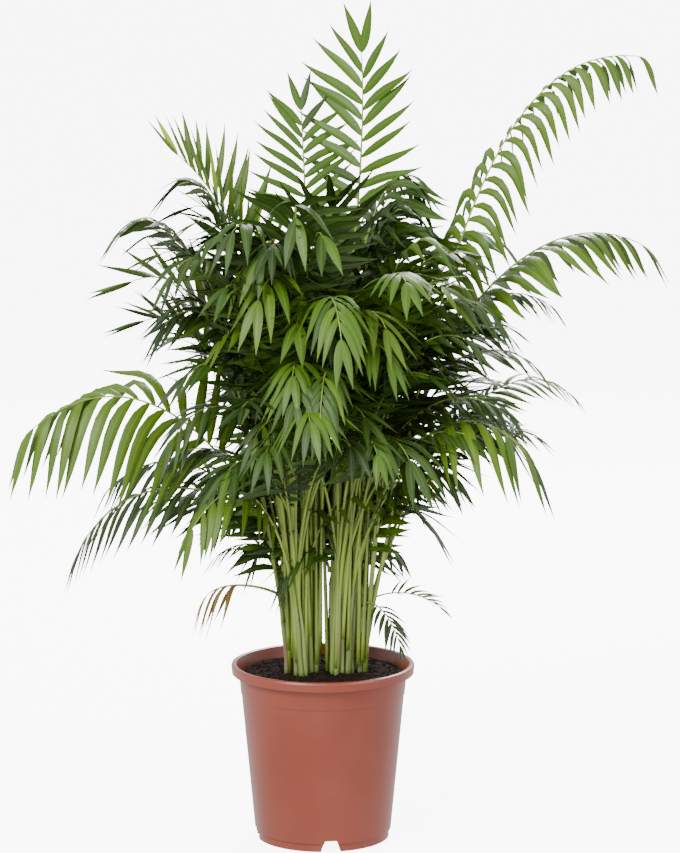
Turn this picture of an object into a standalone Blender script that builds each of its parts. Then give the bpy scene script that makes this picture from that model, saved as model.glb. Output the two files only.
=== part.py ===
"""Parlor palm in a plastic nursery pot, in metres, +Z up.

The origin is the middle of the pot's underside. +X is to the right and -Y to the front.
"""

import math
import random

import bmesh
import bpy
import numpy as np
from mathutils import Vector
from mathutils.bvhtree import BVHTree

# Clearance between neighbouring pieces
GAP = 0.0003

# Pot
POT_HEIGHT = 0.232
RIM_RADIUS = 0.120
RIM_INNER_RADIUS = 0.1125
RIM_HEIGHT = 0.0125
RIM_ROUNDING = 0.0030
WALL_TOP_RADIUS = 0.1100
WALL_FOOT_RADIUS = 0.0892
WALL = 0.0022
STEP_HEIGHTS = (0.1930,)
STEP_DEPTH = 0.0008
STEP_SLOPE = 0.0010
FOOT_RING_HEIGHT = 0.010
FOOT_RING_SET_IN = 0.0016
FOOT_RING_WIDTH = 0.005
FLOOR_UNDERSIDE = 0.0160
FLOOR_THICKNESS = 0.0025
PAD_RADIUS = 0.018
POT_STEPS = 40
NOTCHES = 4
FIRST_NOTCH = math.radians(-83)
NOTCH_WIDTH = 0.026
NOTCH_TOP_WIDTH = 0.015
NOTCH_HEIGHT = 0.0150
NOTCH_REACH = 0.030

# Soil
SOIL_TOP = 0.2220
SOIL_FLAT_RADIUS = 0.074
SOIL_EDGE_DROP = 0.0045
SOIL_STEPS = 32

# Stems, in two clumps: name, middle of the foot and the turn of the spiral
CLUMPS = (("left", -0.0265, -0.003, math.radians(160)), ("right", 0.0305, 0.002, 0.0))
STEMS_PER_CLUMP = 8
STEM_PITCH = 0.0092
GOLDEN_TURN = math.radians(137.508)
STEM_FOOT_RADIUS = 0.0066
STEM_TOP_RADIUS = 0.0061
STEM_MIDDLE_TOP = 0.372
STEM_TOP_FALL = 1.75
STEM_TOP_STEP = 0.009
STEM_SPREAD = 56.0
STEM_POINTS = 5

# Ribs of the fronds
RIB_SAMPLES = 140
STEM_SAMPLES = 30
FOOT_CLEARANCE = 0.0047
RIB_CLEARANCE = 0.0060
STEM_CLEARANCE = 0.0094
BASE_ZONE = 0.080
SLOTS = 4
SLOT_RING = 0.0040
RIB_RADIUS = 0.0021
RIB_TIP_RADIUS = 0.0011
BARE_STATIONS = 5
RISE = 0.5
HANG_AT_FIRST = 0.5
HANG_AT_LAST = 1.4
REACH_TO_STEM = 0.17
TOP_BELOW_ARCH = 0.030
FORK_STEP = 0.010
FORK_ZONE = 0.080

# Leaflets
ROOT_LENGTH = 0.007
LEAF_WIDEST = 0.42
LEAF_FILL = 0.84
LEAF_THICKNESS = 0.012
FORWARD_AT_FIRST = math.radians(66)
FORWARD_AT_LAST = math.radians(32)
FORWARD_OF_TIP = math.radians(16)
BEND_NEARER = 0.35
TWIST = (1.25, 0.25)
LEAF_FREE_FROM = 0.3
LEAF_TRIES = ((0.0, 1.0), (0.35, 1.0), (-0.3, 1.0), (0.3, 0.8), (-0.2, 0.8), (0.0, 0.62), (0.8, 0.62))

# Fronds seen one by one: name, end of the rib (x, y, z), height and place of the arch,
# bare share of the rib, leaf pairs, leaf length, hang, lift and roll in degrees, tone
FRONDS = (
    ("frond_rim_right", (0.100, -0.062, 0.268), 0.336, 0.62, 0.40, 5, 0.040, 0.80, 0, 10, "dark"),
    ("frond_top", (0.050, 0.060, 1.024), 0.86, 1.30, 0.70, 9, 0.108, 0.45, 10, 0, "mid"),
    ("frond_second_top", (-0.028, 0.080, 0.948), 0.80, 0.60, 0.72, 7, 0.085, 0.40, 5, 0, "mid"),
    ("frond_short_right", (0.152, -0.010, 0.308), 0.342, 0.60, 0.40, 4, 0.034, 0.30, 25, 10, "dark"),
    ("frond_wilted", (-0.150, -0.020, 0.326), 0.352, 0.75, 0.62, 3, 0.090, 1.60, 0, 20, "wilted"),
    ("frond_low_right", (0.178, 0.030, 0.462), 0.530, 0.55, 0.45, 6, 0.075, 0.90, 0, 20, "dark"),
    ("frond_short_left", (-0.140, 0.010, 0.370), 0.410, 0.60, 0.50, 4, 0.046, 0.60, 0, 10, "dark"),
    ("frond_upper_right", (0.404, 0.010, 1.021), 1.048, 0.40, 0.42, 12, 0.092, 1.60, 0, 55, "bright"),
    ("frond_right", (0.412, 0.030, 0.778), 0.864, 0.55, 0.56, 9, 0.110, 1.10, 0, 0, "bright"),
    ("frond_young", (-0.190, 0.100, 0.888), 0.800, 0.30, 0.60, 9, 0.105, -0.10, 60, 0, "bright"),
    ("frond_broad", (0.012, -0.070, 0.835), 0.800, 0.40, 0.70, 6, 0.115, 0.25, 10, 0, "dark"),
    ("frond_left_upper", (-0.185, 0.000, 0.857), 0.905, 0.52, 0.56, 8, 0.095, 0.70, 10, 25, "dark"),
    ("frond_left_high", (-0.252, -0.050, 0.806), 0.880, 0.55, 0.48, 8, 0.098, 0.70, 10, 25, "dark"),
    ("frond_left_mid", (-0.185, -0.130, 0.760), 0.850, 0.55, 0.56, 6, 0.095, 0.80, 5, -20, "dark"),
    ("frond_left_pale", (-0.246, 0.010, 0.732), 0.780, 0.50, 0.58, 7, 0.100, 0.10, 25, 30, "bright"),
    ("frond_left_dark", (-0.200, -0.060, 0.685), 0.765, 0.60, 0.52, 7, 0.100, 0.80, 5, -25, "dark"),
    ("frond_left_inner", (-0.190, -0.110, 0.545), 0.660, 0.55, 0.46, 7, 0.095, 0.80, 0, -20, "dark"),
    ("frond_big_left", (-0.372, -0.040, 0.548), 0.668, 0.55, 0.42, 10, 0.150, 1.50, 0, -78, "bright"),
    ("frond_low_left", (-0.278, 0.040, 0.458), 0.555, 0.55, 0.46, 7, 0.085, 1.10, 0, -20, "dark"),
    ("frond_droop_left", (-0.316, -0.020, 0.385), 0.540, 0.72, 0.40, 9, 0.100, 1.20, 0, -25, "dark"),
    ("frond_front_left", (-0.165, -0.120, 0.432), 0.542, 0.48, 0.40, 8, 0.098, 1.20, 0, -20, "bright"),
    ("frond_front_right", (0.258, -0.120, 0.528), 0.640, 0.55, 0.46, 8, 0.135, 1.40, 0, 10, "mid"),
    ("frond_fan_right", (0.236, -0.050, 0.572), 0.648, 0.55, 0.54, 6, 0.088, 0.80, 0, 25, "dark"),
    ("frond_mid_right", (0.318, 0.040, 0.585), 0.658, 0.60, 0.56, 7, 0.072, 0.60, 5, 20, "bright"),
    ("frond_slim_right", (0.272, 0.000, 0.625), 0.706, 0.60, 0.56, 6, 0.075, 0.60, 5, 15, "mid"),
    ("frond_small_right", (0.290, 0.000, 0.705), 0.775, 0.55, 0.56, 6, 0.070, 0.70, 0, 15, "dark"),
    ("frond_right_inner", (0.215, -0.090, 0.700), 0.790, 0.55, 0.50, 7, 0.100, 0.80, 0, 10, "dark"),
    ("frond_high_right", (0.226, 0.030, 0.785), 0.850, 0.50, 0.60, 7, 0.090, 0.70, 0, 15, "mid"),
    ("frond_right_upper", (0.155, -0.070, 0.780), 0.860, 0.50, 0.56, 6, 0.105, 0.70, 0, 0, "dark"),
    ("frond_star", (-0.002, -0.245, 0.592), 0.740, 0.60, 0.50, 7, 0.085, 1.10, 0, 0, "mid"),
    ("frond_centre", (0.024, -0.235, 0.690), 0.840, 0.60, 0.56, 7, 0.100, 1.10, 0, 0, "mid"),
    ("frond_back_low", (0.006, 0.120, 0.430), 0.520, 0.50, 0.46, 6, 0.090, 0.90, 0, 0, "dark"),
)

# Fronds of the crown's body, up to four on each shoot
INNER_SHOOTS = 10
INNER_SEED = 7
INNER_HEIGHTS = (0.46, 0.86)
INNER_ACROSS = 0.180
INNER_DEEP = 0.270
INNER_MIDDLE = 0.64
INNER_TALL = 0.42
INNER_PAIRS = 5
INNER_LEAF = 0.105
INNER_TRIES = 80
INNER_TURNS = (0, 55, -48, 110)

TONES = {
    "bright": (0.190, 0.290, 0.045),
    "mid": (0.075, 0.150, 0.028),
    "dark": (0.028, 0.060, 0.016),
    "wilted": (0.120, 0.100, 0.035),
}


def material(name, colour, roughness):
    """A Principled material with one plain colour."""
    made = bpy.data.materials.new(name)
    made.use_nodes = True
    shader = made.node_tree.nodes["Principled BSDF"]
    shader.inputs["Base Color"].default_value = (*colour, 1.0)
    shader.inputs["Roughness"].default_value = roughness
    shader.inputs["Metallic"].default_value = 0.0
    return made


def collection(name):
    made = bpy.data.collections.new(name)
    bpy.context.scene.collection.children.link(made)
    return made


def mesh_object(name, bm, group, surface):
    """The bmesh as a new object, with its faces turned out."""
    bmesh.ops.recalc_face_normals(bm, faces=bm.faces)
    if bm.calc_volume(signed=True) < 0:
        bmesh.ops.reverse_faces(bm, faces=bm.faces)
    mesh = bpy.data.meshes.new(name)
    bm.to_mesh(mesh)
    bm.free()
    made = bpy.data.objects.new(name, mesh)
    made.data.materials.append(surface)
    group.objects.link(made)
    return made


def turned(name, profile, steps, group, surface):
    """A profile of (radius, height) points turned about Z."""
    mesh = bpy.data.meshes.new(name)
    edges = [(i, i + 1) for i in range(len(profile) - 1)]
    mesh.from_pydata([(r, 0.0, z) for r, z in profile], edges, [])
    made = bpy.data.objects.new(name, mesh)
    made.data.materials.append(surface)
    group.objects.link(made)
    screw = made.modifiers.new("Turn", "SCREW")
    screw.steps = steps
    screw.render_steps = steps
    screw.use_merge_vertices = True
    screw.merge_threshold = 0.0001
    screw.use_smooth_shade = False
    return made


def wall_radius(height):
    """Outer radius of the tapered wall, less the shallow steps above each line."""
    share = height / (POT_HEIGHT - RIM_HEIGHT)
    radius = WALL_FOOT_RADIUS + (WALL_TOP_RADIUS - WALL_FOOT_RADIUS) * share
    return radius - STEP_DEPTH * sum(height < step for step in STEP_HEIGHTS)


def pot_profile():
    """From the middle of the inner floor, up inside, over the rim and down to the pad."""
    floor_top = FLOOR_UNDERSIDE + FLOOR_THICKNESS
    inner_foot = wall_radius(floor_top) - WALL
    foot = wall_radius(0.0) - FOOT_RING_SET_IN
    rim_foot = POT_HEIGHT - RIM_HEIGHT
    profile = [(0.0, floor_top), (inner_foot, floor_top)]
    profile.append((WALL_TOP_RADIUS - WALL, rim_foot - 0.002))
    profile.append((RIM_INNER_RADIUS, POT_HEIGHT - RIM_ROUNDING))
    for turn in (45, 90):
        angle = math.radians(turn)
        profile.append(
            (
                RIM_INNER_RADIUS + RIM_ROUNDING * (1 - math.cos(angle)),
                POT_HEIGHT - RIM_ROUNDING * (1 - math.sin(angle)),
            )
        )
    for turn in (90, 45, 0):
        angle = math.radians(turn)
        profile.append(
            (
                RIM_RADIUS - RIM_ROUNDING * (1 - math.cos(angle)),
                POT_HEIGHT - RIM_ROUNDING * (1 - math.sin(angle)),
            )
        )
    profile.append((RIM_RADIUS - 0.0010, rim_foot))
    profile.append((WALL_TOP_RADIUS, rim_foot))
    for step in STEP_HEIGHTS:
        profile.append((wall_radius(step), step))
        profile.append((wall_radius(step - STEP_SLOPE), step - STEP_SLOPE))
    profile.append((wall_radius(FOOT_RING_HEIGHT + 0.001), FOOT_RING_HEIGHT + 0.001))
    profile.append((foot, FOOT_RING_HEIGHT))
    profile.append((foot, 0.0))
    profile.append((foot - FOOT_RING_WIDTH, 0.0))
    profile.append((foot - FOOT_RING_WIDTH - 0.001, FLOOR_UNDERSIDE))
    profile.append((PAD_RADIUS + 0.002, FLOOR_UNDERSIDE))
    profile.append((PAD_RADIUS, 0.0))
    profile.append((0.0, 0.0))
    return profile


def notch_cutter(turn, group):
    """A trapezoid block that cuts one drain notch through the foot ring."""
    bm = bmesh.new()
    middle = WALL_FOOT_RADIUS - FOOT_RING_SET_IN
    below = -0.004
    slope = (NOTCH_WIDTH - NOTCH_TOP_WIDTH) / 2 / NOTCH_HEIGHT
    low_half = NOTCH_WIDTH / 2 - below * slope
    high_half = NOTCH_TOP_WIDTH / 2
    bmesh.ops.create_cube(bm, size=1.0)
    for vert in bm.verts:
        high = vert.co.z > 0
        side = 1 if vert.co.y > 0 else -1
        vert.co.x = middle + vert.co.x * NOTCH_REACH
        vert.co.y = side * (high_half if high else low_half)
        vert.co.z = NOTCH_HEIGHT if high else below
    cutter = mesh_object("notch_cutter", bm, group, None)
    cutter.rotation_euler.z = turn
    cutter.hide_render = True
    cutter.display_type = "WIRE"
    return cutter


def add_pot(group, cutters):
    surface = material("terracotta_plastic", (0.380, 0.105, 0.060), 0.45)
    pot = turned("pot", pot_profile(), POT_STEPS, group, surface)
    for k in range(NOTCHES):
        cut = pot.modifiers.new("Drain notch", "BOOLEAN")
        cut.operation = "DIFFERENCE"
        cut.object = notch_cutter(FIRST_NOTCH + k * 2 * math.pi / NOTCHES, cutters)
    return pot


def add_soil(group):
    """The soil fills the pot up to a level top that falls a little at the edge."""
    surface = material("potting_soil", (0.028, 0.020, 0.016), 0.95)
    bottom = FLOOR_UNDERSIDE + FLOOR_THICKNESS + GAP
    inner_foot = wall_radius(FLOOR_UNDERSIDE + FLOOR_THICKNESS) - WALL
    inner_top = WALL_TOP_RADIUS - WALL
    share = (SOIL_TOP - SOIL_EDGE_DROP - bottom) / (POT_HEIGHT - RIM_HEIGHT - 0.002 - bottom)
    edge = inner_foot + (inner_top - inner_foot) * share
    chord = math.cos(math.pi / SOIL_STEPS)
    clear = 2 * GAP / chord
    profile = (
        (0.0, SOIL_TOP),
        (SOIL_FLAT_RADIUS, SOIL_TOP),
        (edge - clear, SOIL_TOP - SOIL_EDGE_DROP),
        (inner_foot - clear, bottom),
        (0.0, bottom),
    )
    return turned("soil", profile, POT_STEPS, group, surface)


def stem_places():
    """Foot, top and name of each stem. The tops spread out from the middle of the pot."""
    places = []
    for name, x, y, turn in CLUMPS:
        for k in range(STEMS_PER_CLUMP):
            angle = turn + k * GOLDEN_TURN
            ring = STEM_PITCH * math.sqrt(k + 0.5)
            foot = np.array([x + ring * math.cos(angle), y + ring * math.sin(angle), 0.0])
            foot[2] = SOIL_TOP + GAP
            top = foot.copy()
            top[2] = STEM_MIDDLE_TOP - STEM_TOP_FALL * math.hypot(foot[0], foot[1])
            top[2] += STEM_TOP_STEP * (k % 3 - 1)
            top[:2] *= 1 + STEM_SPREAD * (top[2] - foot[2]) * math.hypot(foot[0], foot[1])
            places.append((f"stem_{name}_{k + 1}", foot, top))
    return places


def stem_line(foot, top, points):
    """Points up a stem, which leaves the soil upright and leans out as it rises."""
    share = np.linspace(0.0, 1.0, points)[:, None]
    line = foot + (top - foot) * share * share * (1.5 - 0.5 * share)
    line[:, 2] = (foot[2] + (top[2] - foot[2]) * share)[:, 0]
    return line


def stem_axis(foot, top):
    """The direction of the stem's last stretch."""
    line = stem_line(foot, top, STEM_POINTS)
    last = line[-1] - line[-2]
    return last / np.linalg.norm(last)


def add_stem(name, foot, top, group, surface):
    """A tapered tube from the soil up to where its fronds part."""
    curve = bpy.data.curves.new(name, "CURVE")
    curve.dimensions = "3D"
    curve.bevel_depth = 1.0
    curve.bevel_resolution = 1
    curve.use_fill_caps = True
    spline = curve.splines.new("POLY")
    spline.points.add(STEM_POINTS - 1)
    for k, place in enumerate(stem_line(foot, top, STEM_POINTS)):
        share = k / (STEM_POINTS - 1)
        spline.points[k].co = (*place, 1.0)
        spline.points[k].radius = STEM_FOOT_RADIUS + (STEM_TOP_RADIUS - STEM_FOOT_RADIUS) * share
    made = bpy.data.objects.new(name, curve)
    made.data.materials.append(surface)
    group.objects.link(made)
    return made


def rib_line(base, start, end, arch_height, arch_place):
    """Points evenly spaced along the rib, which starts along a direction and arches to its end."""
    out = np.array([end[0] - base[0], end[1] - base[1], 0.0])
    rise = base + RISE * (arch_height - base[2]) * start / start[2]
    arch = base + arch_place * out
    arch[2] = arch_height
    t = np.linspace(0.0, 1.0, 4 * RIB_SAMPLES)[:, None]
    curve = (1 - t) ** 3 * base + 3 * t * (1 - t) ** 2 * rise
    curve = curve + 3 * t * t * (1 - t) * arch + t**3 * end
    walked = np.concatenate([[0.0], np.cumsum(np.linalg.norm(np.diff(curve, axis=0), axis=1))])
    even = np.linspace(0.0, walked[-1], RIB_SAMPLES)
    return np.stack([np.interp(even, walked, curve[:, k]) for k in range(3)], 1)


def nearest_gaps(line, others):
    """From each point of the line, the distance to the nearest point of the others."""
    points = np.concatenate(others)
    squares = (line * line).sum(1)[:, None] + (points * points).sum(1)[None, :]
    return np.sqrt(np.maximum(squares - 2 * line @ points.T, 0.0).min(axis=1))


def rib_is_clear(line, ribs, stem_lines):
    """Whether the rib keeps its distance from stems and ribs, a larger one past its foot."""
    if nearest_gaps(line, stem_lines).min() < STEM_CLEARANCE:
        return False
    if not ribs:
        return True
    gaps = nearest_gaps(line, ribs)
    walked = np.linalg.norm(line[1] - line[0]) * np.arange(len(line))
    return bool((gaps > np.where(walked < BASE_ZONE, FOOT_CLEARANCE, RIB_CLEARANCE)).all())


def nearest_stems(end, arch_height, stems, used):
    """Stems with a free place that end below the arch, the frond's own side first."""
    wanted = REACH_TO_STEM * np.array(end[:2])
    below = arch_height - TOP_BELOW_ARCH
    free = [k for k in range(len(stems)) if len(used[k]) < SLOTS and stems[k][2][2] < below]
    return sorted(free, key=lambda k: np.linalg.norm(stems[k][2][:2] - wanted))


def slot_place(stem_top, axis, end, taken):
    """The free place on the stem's tilted top that faces the frond's end, and its number."""
    heading = math.atan2(end[1] - stem_top[1], end[0] - stem_top[0])
    choices = []
    for slot in range(SLOTS):
        angle = slot * 2 * math.pi / SLOTS
        if slot not in taken:
            choices.append((-math.cos(angle - heading), slot, angle))
    _, slot, angle = min(choices)
    out = np.array([math.cos(angle), math.sin(angle), 0.0])
    out -= (out @ axis) * axis
    return stem_top + SLOT_RING * out / np.linalg.norm(out) + GAP * axis, slot


def spring_from_stem(end, arch_height, arch_place, garden):
    """The rib from the first stem that leaves it clear of the others, or nothing."""
    stems, used, ribs = garden["stems"], garden["used"], garden["ribs"]
    for k in nearest_stems(end, arch_height, stems, used):
        axis = stem_axis(*stems[k][1:])
        base, slot = slot_place(stems[k][2], axis, end, used[k])
        line = rib_line(base, axis, np.array(end), arch_height, arch_place)
        others = [other for n, other in enumerate(garden["lines"]) if n != k]
        if rib_is_clear(line, ribs, others):
            used[k].append(slot)
            return line
    return None


def inner_end(azimuth, height, share):
    """A rib's end on the crown's body, a squashed ball that is deeper than it is wide."""
    swell = math.sqrt(max(0.0, 1 - ((height - INNER_MIDDLE) / INNER_TALL) ** 2))
    x = INNER_ACROSS * swell * share * math.cos(azimuth) + 0.012
    y = INNER_DEEP * swell * share * math.sin(azimuth)
    return (x, y, height)


def plan_fronds():
    """Shoots, each a name with its fronds."""
    stems = stem_places()
    lines = [stem_line(foot, top, STEM_SAMPLES) for _, foot, top in stems]
    garden = {"stems": stems, "lines": lines, "used": [[] for _ in stems], "ribs": []}
    shoots = []
    for name, end, arch_height, arch_place, *leafing in FRONDS:
        line = spring_from_stem(end, arch_height, arch_place, garden)
        if line is None:
            continue
        garden["ribs"].append(line)
        shoots.append((name, [(line, *leafing)]))
    rng = random.Random(INNER_SEED)
    for k in range(INNER_SHOOTS):
        fronds = plan_inner_shoot(k, rng, garden)
        if fronds:
            shoots.append((f"frond_inner_{k + 1}", fronds))
    return shoots


def plan_inner_shoot(k, rng, garden):
    """Fronds of one shoot, the later ones forking off the first one's foot."""
    low, high = INNER_HEIGHTS
    fronds = []
    for partner, turn in enumerate(INNER_TURNS):
        for _ in range(INNER_TRIES):
            azimuth = k * GOLDEN_TURN + math.radians(turn) + rng.uniform(-0.4, 0.4)
            height = low + (high - low) * ((k * 0.618 + partner * 0.37) % 1.0)
            height += rng.uniform(-0.04, 0.04)
            end = inner_end(azimuth, height, rng.uniform(0.6, 1.0))
            arch_height = height + rng.uniform(0.05, 0.12)
            arch_place = rng.uniform(0.45, 0.65)
            if fronds:
                line = fork(fronds, partner, end, arch_height, arch_place, garden)
            else:
                line = spring_from_stem(end, arch_height, arch_place, garden)
            if line is not None:
                break
        if line is None:
            continue
        hang = rng.uniform(0.5, 1.1)
        roll = rng.uniform(-30, 30)
        leaf = INNER_LEAF * rng.uniform(0.85, 1.1)
        tone = rng.choice(("dark", "dark", "mid"))
        fronds.append((line, 0.54, INNER_PAIRS, leaf, hang, 4, roll, tone))
    garden["ribs"] += [frond[0] for frond in fronds]
    return fronds


def fork(fronds, partner, end, arch_height, arch_place, garden):
    """A rib that leaves the foot of the shoot's first rib, or nothing."""
    first = fronds[0][0]
    step = np.linalg.norm(first[1] - first[0])
    at = int(partner * FORK_STEP / step)
    line = rib_line(first[at], first[at + 1] - first[at], np.array(end), arch_height, arch_place)
    free = line[int(FORK_ZONE / np.linalg.norm(line[1] - line[0])) :]
    if nearest_gaps(free, [frond[0] for frond in fronds]).min() < RIB_CLEARANCE:
        return None
    others = [other for other in garden["lines"] if np.linalg.norm(other[-1] - first[0]) > 0.006]
    return line if rib_is_clear(line, garden["ribs"], others) else None


def blade_frames(line, roll):
    """Along, side and normal directions at each point of the rib."""
    along = np.gradient(line, axis=0)
    along /= np.linalg.norm(along, axis=1)[:, None]
    out = line[-1] - line[0]
    flat = np.array([-out[1], out[0], 0.0]) / math.hypot(out[0], out[1])
    side = flat - (along @ flat)[:, None] * along
    side /= np.linalg.norm(side, axis=1)[:, None]
    normal = np.cross(along, side)
    turn = math.radians(roll) * np.linspace(*TWIST, len(line))[:, None]
    rolled = side * np.cos(turn) + normal * np.sin(turn)
    return along, rolled, np.cross(along, rolled)


def leaf_profile(share):
    """Leaf length along the frond, from its first pair at 0 to its last at 1."""
    if share < 0.38:
        return 1 - 0.28 * (1 - share / 0.38) ** 2
    return 1 - 0.40 * ((share - 0.38) / 0.62) ** 2


def leaf_points(root, along, side, normal, forward, lift, hang, length, width):
    """Corners of the leaflet at its root, near its root, at its widest and at its tip."""
    spread = side * math.cos(lift) + normal * math.sin(lift)
    first = along * math.cos(forward) + spread * math.sin(forward)
    then = first - hang * math.hypot(first[0], first[1]) * np.array([0.0, 0.0, 1.0])
    then /= np.linalg.norm(then)
    face = np.cross(first, along)
    face /= np.linalg.norm(face)
    if face @ normal < 0:
        face = -face
    across = np.cross(face, first)
    if across @ along < 0:
        across = -across
    bend = LEAF_WIDEST / (1 + BEND_NEARER * max(0.0, hang))
    middle = root + bend * length * first
    tip = middle + (1 - bend) * length * then
    half_thick = 0.5 * max(LEAF_THICKNESS * length, 0.001) * face
    half_wide = 0.5 * width * across
    rear, front = middle - half_wide, middle + half_wide
    return [rear + half_thick, front + half_thick, front - half_thick, rear - half_thick], tip


def quad_tube(corners_a, corners_b, tip):
    """Triangles round a leaf, from one section to the next and on to its tip."""
    points = list(corners_a) + list(corners_b) + [tip]
    faces = [(i, (i + 1) % 4, 4 + (i + 1) % 4, 4 + i) for i in range(4)]
    faces += [(4 + i, 4 + (i + 1) % 4, 8) for i in range(4)]
    faces.append((0, 1, 2, 3))
    return points, faces


def tree_of(points, faces):
    return BVHTree.FromPolygons([tuple(p) for p in points], faces)


def rib_sections(line, frames, stations):
    """Three corners round the rib at each station: left, right and under."""
    _, side, normal = frames
    sections = []
    for at in stations:
        place = at * (len(line) - 1)
        low = min(int(place), len(line) - 2)
        blend = place - low
        middle = line[low] * (1 - blend) + line[low + 1] * blend
        radius = RIB_RADIUS + (RIB_TIP_RADIUS - RIB_RADIUS) * at
        s, n = side[low], normal[low]
        sections.append(
            (
                middle + radius * (0.87 * s + 0.5 * n),
                middle + radius * (-0.87 * s + 0.5 * n),
                middle - radius * n,
            )
        )
    return sections


def rib_stations(length, bare, pairs):
    """Shares of the rib where its sections lie: two at the root of each leaf pair."""
    root = ROOT_LENGTH / length
    stations = list(np.linspace(0.0, bare, BARE_STATIONS))
    spacing = (1 - bare - root) / pairs
    for pair in range(pairs):
        start = bare + (pair + 0.75) * spacing
        stations += [start, start + root * (0.8 if pair == pairs - 1 else 1.0)]
    stations[-1] = 1.0
    return stations, spacing * length


def add_rib(bm, sections):
    """The three-sided rib, and its left and right faces between stations."""
    rings = [[bm.verts.new(corner) for corner in section] for section in sections]
    bm.faces.new(rings[0])
    bm.faces.new(rings[-1][::-1])
    left, right = [], []
    for a, b in zip(rings, rings[1:]):
        bm.faces.new((a[0], a[1], b[1], b[0]))
        left.append(bm.faces.new((a[0], b[0], b[2], a[2])))
        right.append(bm.faces.new((a[1], a[2], b[2], b[1])))
    return left, right


def frond_mesh(frond, limbs):
    """One frond as a bmesh, with a leaf left out where it would touch another piece."""
    line, bare, pairs, leaf, hang, lift, roll, _ = frond
    frames = blade_frames(line, roll)
    length = np.linalg.norm(np.diff(line, axis=0), axis=1).sum()
    stations, spacing = rib_stations(length, bare, pairs)
    sections = rib_sections(line, frames, stations)
    bm = bmesh.new()
    left, right = add_rib(bm, sections)
    own = []
    for pair in range(pairs):
        at = BARE_STATIONS + 2 * pair
        share = pair / max(1, pairs - 1)
        forward = FORWARD_AT_FIRST + (FORWARD_AT_LAST - FORWARD_AT_FIRST) * share
        if pair == pairs - 1:
            forward = FORWARD_OF_TIP
        size = leaf * leaf_profile(share)
        width = LEAF_FILL * spacing * math.sin(max(forward, math.radians(40)))
        width = min(width, 1.8 * LEAF_WIDEST * size * math.sin(forward))
        droop = hang * (HANG_AT_FIRST + (HANG_AT_LAST - HANG_AT_FIRST) * share)
        for faces, sign in ((left, 1), (right, -1)):
            face = faces[at]
            corner = 0 if sign > 0 else 1
            rear_top, front_top = sections[at][corner], sections[at + 1][corner]
            front_low, rear_low = sections[at + 1][2], sections[at][2]
            root = (rear_top + front_top + front_low + rear_low) / 4
            k = int((stations[at] + stations[at + 1]) / 2 * (len(line) - 1))
            along, side, normal = (f[k] for f in frames)
            for more_hang, shorter in LEAF_TRIES:
                corners, tip = leaf_points(
                    root,
                    along,
                    side * sign,
                    normal,
                    forward,
                    math.radians(lift),
                    droop + more_hang,
                    size * shorter,
                    width,
                )
                start = np.array([rear_top, front_top, front_low, rear_low])
                near = start + LEAF_FREE_FROM * (np.array(corners) - start)
                tree = tree_of(*quad_tube(near, corners, tip))
                whole = tree_of(*quad_tube(start, corners, tip))
                if any(whole.overlap(other) for other in limbs):
                    continue
                if any(tree.overlap(other) for other in own):
                    continue
                own.append(tree)
                grow(bm, face, start, corners, tip)
                break
    return bm


def grow(bm, face, start, corners, tip):
    """Draws a leaflet out of a side face of the rib: a flat section, then a point."""
    grown = bmesh.ops.extrude_discrete_faces(bm, faces=[face])["faces"][0]
    for vert in grown.verts:
        nearest = min(range(4), key=lambda k: (Vector(start[k]) - vert.co).length)
        vert.co = corners[nearest]
    point = bmesh.ops.poke(bm, faces=[grown])["verts"][0]
    point.co = tip


def joined(objects, name):
    """One body from the fronds that share a foot."""
    first = objects[0]
    for other in objects[1:]:
        union = first.modifiers.new("Fork", "BOOLEAN")
        union.operation = "UNION"
        union.solver = "MANIFOLD"
        union.object = other
    graph = bpy.context.evaluated_depsgraph_get()
    mesh = bpy.data.meshes.new_from_object(first.evaluated_get(graph))
    first.modifiers.clear()
    first.data = mesh
    for other in objects[1:]:
        bpy.data.objects.remove(other)
    first.name = name
    return first


def triangles_tree(obj):
    graph = bpy.context.evaluated_depsgraph_get()
    evaluated = obj.evaluated_get(graph)
    mesh = evaluated.to_mesh()
    points = [obj.matrix_world @ vert.co for vert in mesh.vertices]
    faces = [tuple(face.vertices) for face in mesh.polygons]
    evaluated.to_mesh_clear()
    return BVHTree.FromPolygons(points, faces)


def bare_rib_tree(frond):
    """The rib of a frond alone, a little thicker than it is."""
    line, bare, pairs, *_, roll, _ = frond
    frames = blade_frames(line, roll)
    length = np.linalg.norm(np.diff(line, axis=0), axis=1).sum()
    stations, _ = rib_stations(length, bare, pairs)
    bm = bmesh.new()
    add_rib(bm, rib_sections(line, frames, stations))
    tree = BVHTree.FromBMesh(bm)
    bm.free()
    return tree


def add_fronds(group, fixed):
    surfaces = {tone: material(f"leaf_{tone}", colour, 0.4) for tone, colour in TONES.items()}
    shoots = plan_fronds()
    ribs = {id(frond): bare_rib_tree(frond) for _, fronds in shoots for frond in fronds}
    grown = []
    for name, fronds in shoots:
        parts = []
        for k, frond in enumerate(fronds):
            others = [tree for key, tree in ribs.items() if key != id(frond)]
            bm = frond_mesh(frond, fixed + others + grown)
            part = mesh_object(f"{name}_{k}", bm, group, surfaces[frond[-1]])
            parts.append(part)
            grown.append(triangles_tree(part))
        if len(parts) > 1:
            joined(parts, name)
        else:
            parts[0].name = name


def main():
    for obj in list(bpy.data.objects):
        bpy.data.objects.remove(obj)
    palm = collection("parlor_palm")
    cutters = collection("cutters")
    pot = add_pot(palm, cutters)
    soil = add_soil(palm)
    stem_surface = material("stem_green", (0.200, 0.270, 0.090), 0.5)
    stems = [add_stem(*place, palm, stem_surface) for place in stem_places()]
    bpy.context.view_layer.update()
    fixed = [triangles_tree(obj) for obj in [pot, soil, *stems]]
    add_fronds(palm, fixed)


main()
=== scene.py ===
import math
import random

import bmesh
import bpy
import numpy as np
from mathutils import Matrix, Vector, noise


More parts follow.
